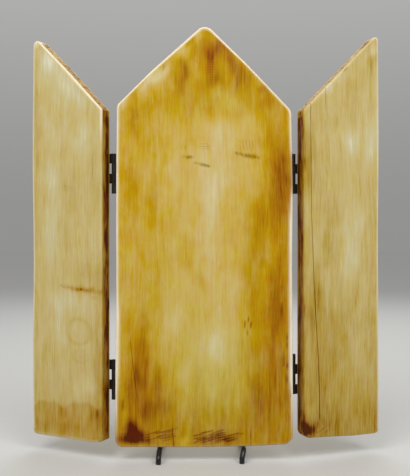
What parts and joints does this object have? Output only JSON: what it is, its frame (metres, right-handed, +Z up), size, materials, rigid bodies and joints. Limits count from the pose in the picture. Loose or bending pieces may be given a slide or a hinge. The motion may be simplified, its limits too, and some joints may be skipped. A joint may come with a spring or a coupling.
{
  "type": "triptych altarpiece",
  "caption": "Gabled wooden triptych with a half-gabled wing hinged on each side, its plain outer faces forward, standing on a bent black steel rod.",
  "frame": {"origin": "on the table, under the middle of the whole work's bounding box", "axes": "+Z up; -Y is the plain outer side that faces the viewer; the wings swing back towards +Y; +X to the viewer's right"},
  "size_m": [0.4514, 0.108, 0.5398],
  "materials": {
    "golden_stain": "golden brown stain, brushed in streaks and worn to cream at the rim, under a satin clear coat",
    "pale_stain": "pale tan stain with blotches, under a satin clear coat",
    "black_hinge": "black lacquered steel",
    "black_screw": "black lacquered steel",
    "black_rod": "glossy black"
  },
  "bodies": {
    "centre": {"central_panel": "golden_stain", "cradle_back_bar": "black_rod", "cradle_left_arm": "black_rod", "cradle_left_front_foot": "black_rod", "cradle_right_arm": "black_rod", "cradle_right_front_foot": "black_rod", "lower_left_hinge_panel_leaf": "black_hinge", "lower_left_hinge_panel_screw_1": "black_screw", "lower_left_hinge_panel_screw_2": "black_screw", "lower_left_hinge_pin": "black_hinge", "lower_right_hinge_panel_leaf": "black_hinge", "lower_right_hinge_panel_screw_1": "black_screw", "lower_right_hinge_panel_screw_2": "black_screw", "lower_right_hinge_pin": "black_hinge", "upper_left_hinge_panel_leaf": "black_hinge", "upper_left_hinge_panel_screw_1": "black_screw", "upper_left_hinge_panel_screw_2": "black_screw", "upper_left_hinge_pin": "black_hinge", "upper_right_hinge_panel_leaf": "black_hinge", "upper_right_hinge_panel_screw_1": "black_screw", "upper_right_hinge_panel_screw_2": "black_screw", "upper_right_hinge_pin": "black_hinge"},
    "left": {"left_wing": "pale_stain", "lower_left_hinge_wing_leaf": "black_hinge", "lower_left_hinge_wing_screw_1": "black_screw", "lower_left_hinge_wing_screw_2": "black_screw", "upper_left_hinge_wing_leaf": "black_hinge", "upper_left_hinge_wing_screw_1": "black_screw", "upper_left_hinge_wing_screw_2": "black_screw"},
    "right": {"lower_right_hinge_wing_leaf": "black_hinge", "lower_right_hinge_wing_screw_1": "black_screw", "lower_right_hinge_wing_screw_2": "black_screw", "right_wing": "pale_stain", "upper_right_hinge_wing_leaf": "black_hinge", "upper_right_hinge_wing_screw_1": "black_screw", "upper_right_hinge_wing_screw_2": "black_screw"}
  },
  "joints": [
    {"name": "left_wing_hinge", "type": "hinge", "parent": "centre", "child": "left", "pos_m": [-0.11515, -0.0191, 0.229], "axis": [0, 0, -1], "range_deg": [-27, 153]},
    {"name": "right_wing_hinge", "type": "hinge", "parent": "centre", "child": "right", "pos_m": [0.11265, -0.0191, 0.229], "axis": [0, 0, 1], "range_deg": [-21, 159]}
  ]
}
